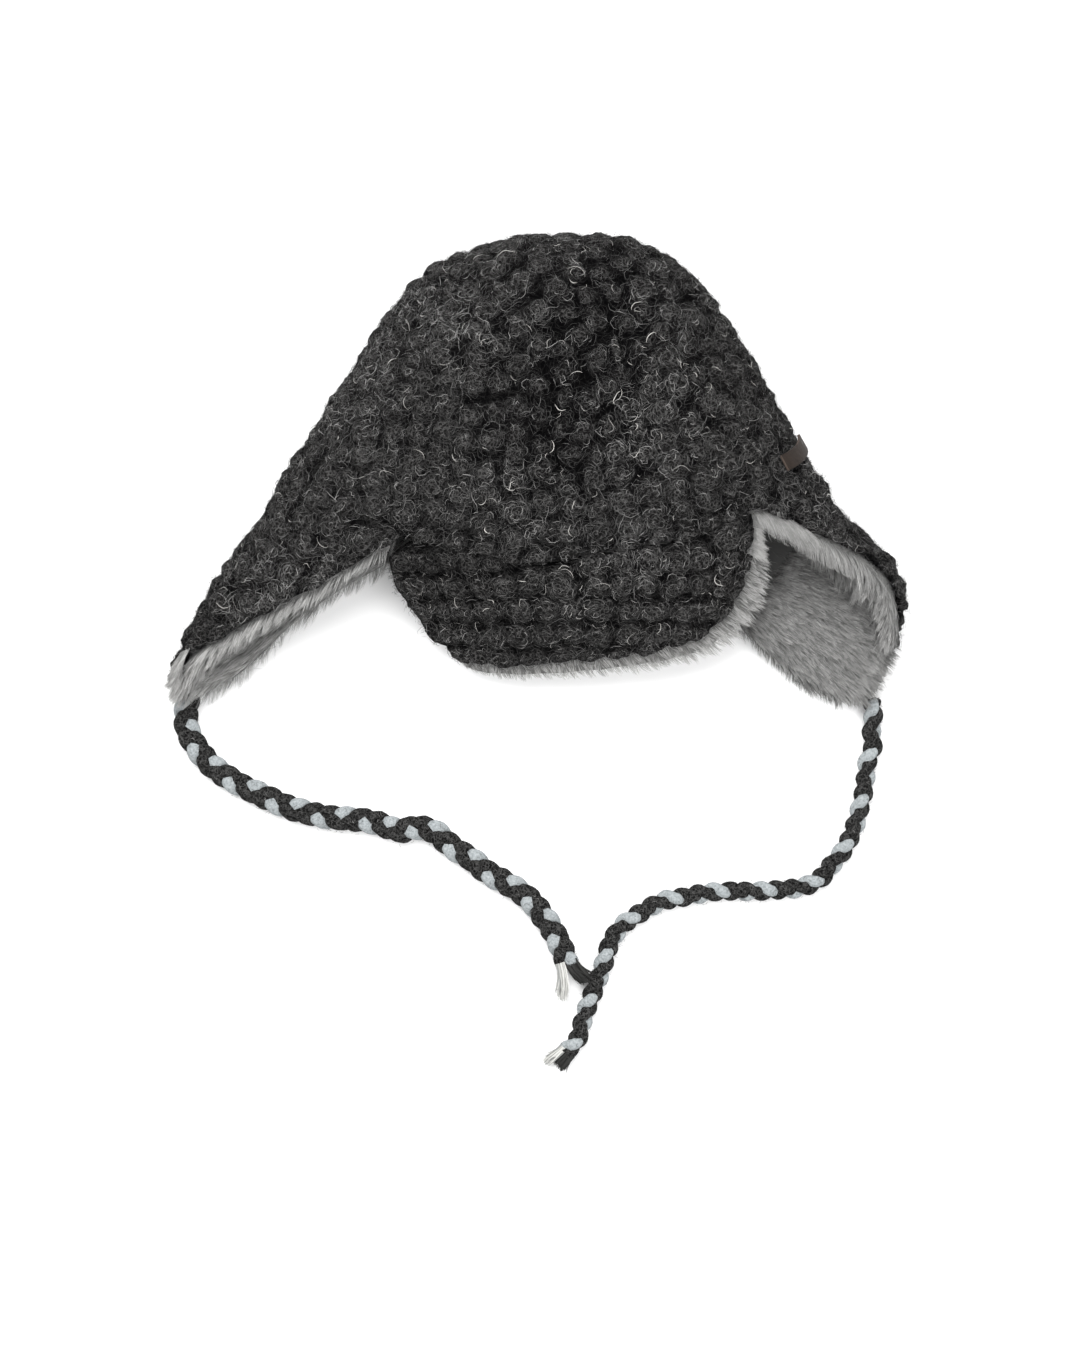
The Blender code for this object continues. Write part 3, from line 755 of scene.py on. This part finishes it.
def pile(name, base, count, comb, length, tone, weigh=None, hidden=True):
    """Combed fur strands over a lining. Comb, length and tone are functions of place."""
    spots, normals = scatter(base, count, weigh)
    if hidden:
        seen = ~facing_knit(spots, normals)
        spots, normals = spots[seen], normals[seen]
    count = len(spots)
    locks, lock = locks_of(spots)
    way = comb(spots, normals)
    way = unit(way) + 0.11 * random.normal(size=(locks, 3))[lock]
    way = way + 0.06 * random.normal(size=(count, 3))
    inward = (way * normals).sum(axis=1, keepdims=True)
    way = unit(way - normals * np.minimum(inward, 0) - normals * np.maximum(inward - 0.6, 0))
    long = length(spots, normals) * (0.75 + 0.4 * random.random(locks)[lock])
    long = long * (0.85 + 0.3 * random.random(count))
    share = np.linspace(0, 1, STRAND_STATIONS)[None, :, None]
    raised = STRAND_BOW * (0.7 + 0.6 * random.random(locks)[lock])
    path = spots[:, None, :] + way[:, None, :] * long[:, None, None] * share
    path = path + normals[:, None, :] * (long * raised)[:, None, None] * np.sin(share * 2.2)
    middle = spots[:locks][lock]
    path = path + (middle - spots)[:, None, :] * 0.55 * share**1.5
    path = off_surface(search_tree(base), path, 0.1 * MM, 8 * MM)
    path[:, 0] -= normals * ROOT_DEPTH
    widths = STRAND_WIDTH * (0.6 + 0.8 * random.random(count))
    level = tone(spots, normals) + 0.42 * random.normal(size=locks)[lock]
    level = level + 0.55 * random.normal(size=count)
    along = np.array([-0.8, 0.0, 0.6])[None, :]
    last = len(fur_finishes) - 1
    tones = np.clip(np.round(level[:, None] + along), 0, last).astype(int)
    made = ribbons(name, path, normals, widths, (0.9, 1.0, 0.7, 0.12), tones, fur_finishes)


def directions(*columns):
    """Directions of the comb, from three columns or plain numbers."""
    return np.stack(np.broadcast_arrays(*columns), axis=-1).astype(float)


# %% [markdown]
# At a few places the lining turns over an edge or meets another lining, and the photograph
# shows fur there that no surface of the solids carries. A short strip is tucked under such
# an edge, strands are rooted on it, and the strip itself is removed again.


# %% Fur at an edge
def edge_fur(name, line, tuck, count, comb, length, level):
    """Combed fur that comes out from under an edge, rooted on a strip tucked beneath it."""
    edge = np.array(line) * MM
    places = np.vstack([edge, edge + np.array(tuck) * MM])
    n = len(line)
    quads = [(i, i + 1, n + i + 1, n + i) for i in range(n - 1)]
    mesh = bpy.data.meshes.new(name)
    mesh.from_pydata(places, [], quads)
    strip = bpy.data.objects.new(f"{name}_strip", mesh)

    def one_way(spots, normals):
        return directions(*comb) + np.zeros((len(spots), 3))

    def one_length(spots, normals):
        return np.full(len(spots), length)

    def one_tone(spots, normals):
        return np.full(len(spots), level)

    pile(name, strip, count, one_way, one_length, one_tone, hidden=False)
    bpy.data.objects.remove(strip)


# %% [markdown]
# The right ear flap lies open like a scoop. Its front wall ends in a band of fur, painted
# lighter than the back wall as painted light, that hangs down over the opening. Behind it
# the back wall's pile sweeps from the upper left to the lower right, more steeply near the
# lower edge. It is painted darker just under the band, as the band's painted shadow, and a
# little darker towards its lower edge.


# %% Right ear flap
BACK_WALL_TOP = 19 * MM


def right_is_back(spots, normals):
    return (normals[:, 2] > -0.5) & (spots[:, 2] < BACK_WALL_TOP)


def right_comb(spots, normals):
    down = np.clip((-50 * MM - spots[:, 1]) / (65 * MM), 0, 1)
    inward = np.clip((spots[:, 0] - 120 * MM) / (70 * MM), 0, 1)
    angle = -np.radians(14 + 46 * down * (1 - 0.45 * inward))
    back = directions(np.cos(angle), np.sin(angle), 0)
    outer = np.clip((spots[:, 0] - 160 * MM) / (25 * MM), 0, 1)
    front = directions(0.16 - 0.5 * outer, -1.0, -0.25)
    return np.where(right_is_back(spots, normals)[:, None], back, front)


def under_band(spots):
    """How deep in the band's shadow a place of the back wall is, from 1 to 0."""
    edge = np.interp(spots[:, 0], np.array((129.7, 179.3)) * MM, np.array((-42.0, -64.9)) * MM)
    return np.exp(-np.clip(edge - spots[:, 1], 0, 1) / (12 * MM))


def right_length(spots, normals):
    band = (normals[:, 2] > 0.2) & (spots[:, 1] > -62 * MM)
    front = np.where(band, 13.0 * MM, 7.0 * MM)
    back = np.where(normals[:, 2] < 0.6, 3.0 * MM, 7.5 * MM)
    return np.where(right_is_back(spots, normals), back, front)


def right_tone(spots, normals):
    lower = np.clip((-65 * MM - spots[:, 1]) / (30 * MM), 0, 1)
    # Painted shade on the back wall, and the band's painted shadow just under it.
    back = 2.6 - 0.7 * lower - 2.2 * under_band(spots)
    return np.where(right_is_back(spots, normals), back, 3.05)


right_lining = lining("right_flap_lining", "ear_flap_right_fur")
pile("right_flap_fur", right_lining, 43000, right_comb, right_length, right_tone)

# %% [markdown]
# The band starts at the visor's corner, where the knitting turns over, and the crown's
# lining meets the flap's in a seam behind it. Both get a row of edge fur.

# %% Start of the band and the seam
BAND_START = (
    (112, -23, 71), (118.9, -26.9, 71), (125.3, -30.1, 71), (132.7, -33.3, 70), (140, -37.5, 68),
)
edge_fur("band_start", BAND_START, (2, 4, -3), 2600, (0.3, -1.0, -0.3), 16 * MM, 2.9)
SEAM = ((123, -73, 14), (133, -61, 14), (144, -46.5, 14.5), (150, -40, 15))
# The seam's fur gets a dark tone as painted shade inside the slot.
edge_fur("seam_fur", SEAM, (-5, 1, 0), 1000, (0.95, -0.3, 0.05), 8 * MM, 1.5)


# %% [markdown]
# The left ear flap hangs nearly closed. A narrow band of fur shows along its lower edge,
# combed down and to the left. The band's pile is painted lighter, as painted light, and the
# back wall behind it darker, as painted shade.


# %% Left ear flap
def left_is_back(spots, normals):
    return (normals[:, 2] > 0.3) & (spots[:, 2] < BACK_WALL_TOP)


def left_comb(spots, normals):
    sideways = directions(-0.75, -0.6, 0)
    front = directions(-0.42, -0.9, -0.4)
    return np.where(left_is_back(spots, normals)[:, None], sideways, front)


def left_length(spots, normals):
    return np.full(len(spots), 9.0 * MM)


def left_tone(spots, normals):
    # Painted light on the band, painted shade on the back wall.
    return np.where(left_is_back(spots, normals), 3.3, 4.4)


left_lining = lining("left_flap_lining", "ear_flap_left_fur")
pile("left_flap_fur", left_lining, 22000, left_comb, left_length, left_tone)
LEFT_TIP = ((-192, -101, 38), (-196, -107, 33), (-197, -114, 27), (-194.5, -121, 22))
edge_fur("left_tip_fur", LEFT_TIP, (5, 2, 2), 1300, (-0.5, -0.85, -0.15), 8.5 * MM, 3.6)


# %% [markdown]
# The visor's lining shows as a pale fringe along its edge, wider at the right end. The
# strands point away from the visor's middle, and a row of edge fur rounds its upper end.


# %% Visor lining
VISOR_MIDDLE = np.array([18.0, -38.0, 40.0]) * MM


def visor_comb(spots, normals):
    away = spots - VISOR_MIDDLE
    away[:, 2] = -12 * MM
    return 0.5 * unit(away) + (0.75, -0.6, -0.1)


def visor_rim(middles, normals):
    past = facing_knit(middles, normals)
    far = np.linalg.norm((middles - VISOR_MIDDLE)[:, :2] * (0.62, 1.0), axis=1)
    return np.where(past, 0.0, np.where(far > 50 * MM, 1.0, 0.05))


def visor_length(spots, normals):
    right = np.clip((spots[:, 0] + 20 * MM) / (110 * MM), 0, 1)
    return (3.6 + 3.2 * right) * MM


def visor_tone(spots, normals):
    return np.interp(spots[:, 0], np.array((20, 100)) * MM, (5.0, 4.3))


visor_lining = lining("visor_lining", "visor_fur")
pile("visor_fringe", visor_lining, 9500, visor_comb, visor_length, visor_tone, visor_rim)
FRINGE_TOP = ((113.6, -24.5, 72), (115.4, -33.5, 66), (116.8, -41.5, 61), (117, -49, 56))
edge_fur("fringe_top", FRINGE_TOP, (-4, 1, 0), 1500, (0.9, -0.75, -0.3), 9 * MM, 4.3)

# %% [markdown]
# The crown's lining is nearly out of sight from above, so it has a thin pile, combed
# towards the brow. Its backing has a darker finish as painted shade, and its pile is
# painted darker, as painted shade, the deeper it lies in the hat.


# %% Crown lining
def crown_comb(spots, normals):
    return np.where(spots[:, :1] > 95 * MM, (0.95, -0.3, 0.0), (0.0, -1.0, 0.0))


def crown_tone(spots, normals):
    # Painted shade: darker the deeper it lies in the hat.
    return np.interp(spots[:, 1], np.array((-62, -44)) * MM, (2.0, -0.6))


def crown_rim(middles, normals):
    return np.where(facing_knit(middles, normals), 0.0, np.where(middles[:, 1] < 0, 1.0, 0.3))


crown_lining = lining("crown_lining", "crown_fur", fur_painted_shade)
pile("crown_pile", crown_lining, 2800, crown_comb, left_length, crown_tone, crown_rim)

# %% [markdown]
# Each tie is a plait of three strands: two of charcoal wool and one pale knitted tape. The
# wool has the same curled hairs as the hat, only finer, and the tape is smooth and dull.

# %% Braid finishes
yarn = Finish("braid_wool", (0.02, 0.02, 0.02), 0.95, gloss=0.04)
yarn_mat = yarn.cloud(500, 4.0)
yarn_tone = yarn.spread(yarn_mat, 0.35, 0.7)
yarn_ground = yarn.blend(yarn_tone, (0.0016, 0.0016, 0.0016), (0.010, 0.0099, 0.0098))
yarn_hairs = yarn.spread(yarn.curls(350, 0.06) + yarn.curls(700, 0.08), 0.0, 1.4)
yarn.colour(yarn.blend(yarn_hairs, yarn_ground, (0.055, 0.0545, 0.0535)))
yarn.bump(yarn.cloud(1100, 3.0), 0.001, 1.0)
tape = Finish("pale_tape", (0.4, 0.45, 0.46), 0.9)
tape_mat = tape.cloud(900, 3.0)
tape_tone = tape.spread(tape_mat, 0.3, 0.7)
tape.colour(tape.blend(tape_tone, (0.17, 0.186, 0.192), (0.32, 0.342, 0.350)))
tape.bump(tape_mat, 0.0007, 0.8)
print("braid finishes:", yarn.material.name, tape.material.name)

# %% [markdown]
# Both ties lie where the photograph shows them, on the same routes as the plain cords of
# the solids: x, y and the height of the middle, in mm. A Catmull-Rom curve runs smoothly
# through all the points, and is then read at even steps.

# %% Routes of the ties
LEFT_ROUTE = (
    (-190.5, -125.5, 7.6), (-192, -135, 6.7), (-191, -144, 6.6), (-186, -153, 6.6),
    (-180, -161, 6.6), (-170, -169, 6.6), (-159, -175, 6.6), (-147, -181, 6.6),
    (-135, -186, 6.6), (-121, -190, 6.6), (-107, -192, 6.6), (-94, -193, 6.6),
    (-83, -196, 6.6), (-75, -199, 6.6), (-66, -197, 6.6), (-56, -199, 6.6),
    (-47, -207, 6.6), (-36, -214, 6.6), (-26, -222, 6.6), (-12, -230, 6.6),
    (-2, -238, 6.6), (5, -247, 6.6), (10, -255, 6.6), (14, -263, 6.6), (17, -272, 6.6),
)
RIGHT_ROUTE = (
    (184, -127.6, 7.0), (185, -136, 5.7), (184, -144, 5.6), (185, -152, 5.6),
    (182, -160, 5.6), (181, -168, 5.6), (180, -176, 5.6), (178, -185, 5.6),
    (176, -193, 5.6), (173, -201, 5.6), (169, -209, 5.6), (162, -218, 5.6),
    (156, -225, 5.6), (145, -230, 5.6), (134, -231, 5.6), (120, -232, 5.6),
    (106, -232, 5.6), (93, -233, 5.6), (82, -235, 5.6), (71, -237, 5.6),
    (62, -241, 5.6), (54, -246, 5.6), (47, -251, 5.6), (42, -258, 6.0),
    (39, -265, 6.6), (37, -272, 6.8), (34, -280, 6.6), (31, -288, 6.0),
    (28, -296, 5.6), (25, -305, 5.6), (23, -313, 5.6), (16, -321, 5.6),
)


def smooth_route(route, spacing):
    """Evenly spaced places on a Catmull-Rom curve through the route's points."""
    points = np.array(route) * MM
    points = np.vstack([2 * points[0] - points[1], points, 2 * points[-1] - points[-2]])
    fine = []
    for i in range(1, len(points) - 2):
        p0, p1, p2, p3 = points[i - 1 : i + 3]
        for t in np.linspace(0, 1, 12, endpoint=False):
            bend = (2 * p0 - 5 * p1 + 4 * p2 - p3) * t * t + (3 * p1 - p0 - 3 * p2 + p3) * t**3
            fine.append(0.5 * (2 * p1 + (p2 - p0) * t + bend))
    fine.append(points[-2])
    fine = np.array(fine)
    run = np.concatenate([[0], np.cumsum(np.linalg.norm(np.diff(fine, axis=0), axis=1))])
    wanted = np.linspace(0, run[-1], int(run[-1] / spacing) + 1)
    return np.stack([np.interp(wanted, run, fine[:, k]) for k in range(3)], axis=1), wanted


# %% [markdown]
# In a plait a strand swings from side to side once while it goes over and under twice. So
# its middle follows a sine across the tie and a sine of twice that angle up and down, and
# the three strands are a third of a turn apart. A roll turns the whole plait about its
# middle. The loft stored on it tells the fuzz to cover it evenly.


# %% Three strands round a line
PLAIT_PERIOD = 26.0 * MM
STEP = 1.0 * MM
SIDES = 12


def tube(rings):
    """Corners and faces of a closed tube through rings, each a row of as many corners."""
    count, sides = rings.shape[:2]
    index = np.arange(count * sides).reshape(count, sides)
    ahead = np.roll(index, -1, axis=1)
    quads = np.stack([index[:-1], ahead[:-1], ahead[1:], index[1:]], axis=-1).reshape(-1, 4)
    faces = [tuple(q) for q in quads.tolist()]
    faces.append(tuple(index[0][::-1].tolist()))
    faces.append(tuple(index[-1].tolist()))
    return rings.reshape(-1, 3), faces


def plait(name, route, width, roll, swing):
    """A three-strand braid along a route, and the line that its middle follows."""
    line, run = smooth_route(route, STEP)
    ahead = unit(np.gradient(line, axis=0))
    side = unit(np.cross(ahead, np.array([0.0, 0.0, 1.0])))
    top = np.cross(side, ahead)
    places, faces, slots = [], [], []
    start = 0
    for strand in range(3):
        angle = 2 * math.pi * run / PLAIT_PERIOD + 2 * math.pi * strand / 3
        sway, dip = swing * width * np.sin(angle), 0.16 * width * np.sin(2 * angle)
        across = sway * math.cos(roll) - dip * math.sin(roll)
        upward = sway * math.sin(roll) + dip * math.cos(roll)
        middle = line + side * across[:, None] + top * upward[:, None]
        way = unit(np.gradient(middle, axis=0))
        flat = unit(np.cross(way, top))
        high = np.cross(flat, way)
        pale = strand == 0
        wide, thick = (0.29 * width, 0.18 * width) if pale else (0.285 * width, 0.24 * width)
        turn = np.linspace(0, 2 * math.pi, SIDES, endpoint=False)
        lump = np.array([noise.noise(Vector(p) * 330) for p in middle])
        grow = 1 + (0.05 if pale else 0.16) * lump
        ring = (
            middle[:, None, :]
            + flat[:, None, :] * (np.cos(turn)[None, :] * wide * grow[:, None])[..., None]
            + high[:, None, :] * (np.sin(turn)[None, :] * thick * grow[:, None])[..., None]
        )
        some, quads = tube(ring)
        places.append(some)
        faces += [tuple(i + start for i in face) for face in quads]
        slots += [1 if pale else 0] * len(quads)
        start += len(some)
    mesh = bpy.data.meshes.new(name)
    mesh.from_pydata(np.vstack(places), [], faces)
    mesh.materials.append(yarn.material)
    mesh.materials.append(tape.material)
    mesh.polygons.foreach_set("material_index", slots)
    mesh.shade_smooth()
    made = bpy.data.objects.new(name, mesh)
    bpy.context.scene.collection.objects.link(made)
    alone(made)
    bpy.ops.object.mode_set(mode="EDIT")
    bpy.ops.mesh.select_all(action="SELECT")
    bpy.ops.mesh.normals_make_consistent(inside=False)
    bpy.ops.object.mode_set(mode="OBJECT")
    store = made.data.attributes.new("loft_and_shade", "FLOAT", "POINT")
    store.data.foreach_set("value", np.full(len(made.data.vertices), 0.85))
    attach(made, "root")
    print(name, "length mm:", round(run[-1] / MM, 1), "faces:", len(faces))
    return made, line, run[-1]


# %% [markdown]
# Both ties end in a frayed tuft: the tape's loose threads, pale and stiff, with some dark
# wool among them. The tuft is a fan of tapered strands that start inside the plait.


# %% Frayed ends
fray_finishes = [
    Finish("fray_pale", (0.46, 0.46, 0.44), 0.85),
    Finish("fray_grey", (0.22, 0.225, 0.22), 0.85),
    Finish("fray_dark", (0.020, 0.020, 0.019), 0.9),
]


def fray(name, line, width, length, leans, count):
    """Loose threads out of the end of a plait: pale on its left, dark wool on its right."""
    end = line[-1]
    ahead = unit((line[-1] - line[-6]) * (1, 1, 0))
    side = np.array([-ahead[1], ahead[0], 0.0])
    spot = (random.random((count, 2)) - 0.5) * (width * 0.9, width * 0.5)
    starts = end + side * spot[:, :1] + np.array([0, 0, 1.0]) * spot[:, 1:] - ahead * 2 * MM
    dark = spot[:, 0] > -0.08 * width
    long = length * np.where(dark, 0.75, 1.0) * (0.65 + 0.4 * random.random(count))
    stations = 5
    share = np.linspace(0, 1, stations)[None, :, None]
    lean = np.where(dark, leans[1], leans[0])[:, None]
    spread = spot[:, :1] * 0.1 + lean + 0.9 * MM * random.normal(size=(count, 1))
    path = starts[:, None, :] + ahead * long[:, None, None] * share
    path = path + side * spread[:, None, :] * share**2
    path[..., 2] = np.maximum(path[..., 2], 0.8 * MM)
    widths = (0.45 + 0.45 * random.random(count)) * MM
    tone = np.where(dark, 2, random.choice(2, size=count, p=(0.75, 0.25)))
    tones = np.repeat(tone[:, None], stations - 1, axis=1)
    facing = unit(random.normal(size=(count, 3)) * 0.5 + (0, 0, 1.0))
    made = ribbons(name, path, facing, widths, (1, 1, 0.9, 0.7, 0.25), tones, fray_finishes)
    return made


# %% [markdown]
# The left tie is a little thicker than the right one, and lies flat where the right one is
# rolled over. The fuzz of a tie is shorter than the hat's.

# %% Both ties
TIES = (
    # name, route, width, roll, swing, tuft's length, leans of its pale and dark threads, count
    ("braid_left", LEFT_ROUTE, 13 * MM, 0.15, 0.25, 20 * MM, (-4 * MM, 5 * MM), 420),
    ("braid_right", RIGHT_ROUTE, 11 * MM, 0.85, 0.2, 14 * MM, (-1 * MM, 0.0), 300),
)
for name, route, width, roll, swing, tuft_length, leans, threads in TIES:
    made, line, long = plait(f"{name}_plait", route, width, roll, swing)
    tuft = fray(f"{name}_fray", line, width, tuft_length, leans, threads)
    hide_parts(name)
    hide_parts(f"{name}_tuft")
    fuzz(f"{name}_fuzz", made, 2000, 4.0 * MM, 0.15 * MM, stray=0.15)

# %% [markdown]
# A small strip of dark leather is sewn to the side of the crown. Its cut edge is lighter
# than its face. The CAD strip is copied, its rim is rounded by a bevel, and the faces that
# look sideways out of the strip take the lighter colour.

# %% Leather tab
leather = Finish("brown_leather", (0.035, 0.025, 0.02), 0.62, gloss=0.1)
hide = leather.cloud(320, 4.0)
leather.colour(leather.blend(hide, (0.010, 0.007, 0.0055), (0.026, 0.019, 0.0155)))
leather.bump(leather.cloud(900, 4.0), 0.0004, 0.8)
cut_edge = Finish("leather_edge", (0.06, 0.044, 0.036), 0.8)

TAB_SHIFT = np.array([0.35, 0.1, 0.9]) * 0.6 * MM  # clear of the wool's fibres
SIDEWAYS = 0.45

tab = copy_of(("leather_tab",), "leather_strip")
finished_with(tab, "BEVEL", width=0.3 * MM, segments=2, limit_method="ANGLE", angle_limit=0.7)
places = corners(tab)
centre = places.mean(axis=0)
spread_ways = np.linalg.svd(places - centre, full_matrices=False)[2]
thin_way = spread_ways[2]
tab.data.materials.append(leather.material)
tab.data.materials.append(cut_edge.material)
for face in tab.data.polygons:
    flatness = abs(np.dot(np.array(face.normal), thin_way))
    face.material_index = 1 if flatness < SIDEWAYS else 0
tab.data.shade_smooth()
set_corners(tab, places + TAB_SHIFT)
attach(tab, "root")
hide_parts("leather_tab")
print("leather strip faces:", len(tab.data.polygons))

# %% [markdown]
# The hat lies on plain white paper. The copies made to search in have done their work, so
# they are removed before the floor is laid.

# %% Floor
for thing in (furs, knits):
    bpy.data.objects.remove(thing, do_unlink=True)

nothing_selected()
bpy.ops.mesh.primitive_plane_add(size=8, location=(0, 0, 0))
floor = bpy.context.active_object
floor.name = "floor"
paper = Finish("white_paper", (0.9, 0.9, 0.9), 0.9)
floor.data.materials.append(paper.material)
print("floor size, m:", tuple(floor.dimensions[:2]))

# %% [markdown]
# One large lamp stands beyond the crown, to the left, so that each bobble and the band of
# fur throw a soft shadow towards the viewer. A wider, weaker one opens up the right side,
# and a bright surround fills the rest.

# %% Lamps and surround
LAMPS = (
    # name, place, aims at, size, watts
    ("key_lamp", (-0.40, 0.85, 1.65), (0, -0.05, 0), 1.4, 60),
    ("fill_lamp", (0.9, -0.9, 1.6), (0, -0.1, 0), 1.8, 32),
)
for name, place, aim, size, watts in LAMPS:
    nothing_selected()
    bpy.ops.object.light_add(type="AREA", location=place)
    lamp = bpy.context.active_object
    lamp.name = name
    lamp.data.size = size
    lamp.data.energy = watts
    lamp.rotation_euler = (Vector(aim) - Vector(place)).to_track_quat("-Z", "Y").to_euler()

world = bpy.data.worlds.new("bright_room")
world.use_nodes = True
world.node_tree.nodes["Background"].inputs["Color"].default_value = (1, 1, 1, 1)
world.node_tree.nodes["Background"].inputs["Strength"].default_value = 0.66
bpy.context.scene.world = world
bpy.context.scene.view_settings.view_transform = "Standard"
print("lamps:", [name for name, *_ in LAMPS])

# %% [markdown]
# The photograph was taken from straight above. A long lens from over two metres away shows
# the sides of the hat as little as it does.

# %% Camera
nothing_selected()
bpy.ops.object.camera_add(location=(0.00216, -0.1134, 2.24), rotation=(0, 0, 0))
camera = bpy.context.active_object
camera.data.lens = 108.6
camera.data.sensor_width = 36
bpy.context.scene.camera = camera
print("camera at:", tuple(round(value, 3) for value in camera.location))
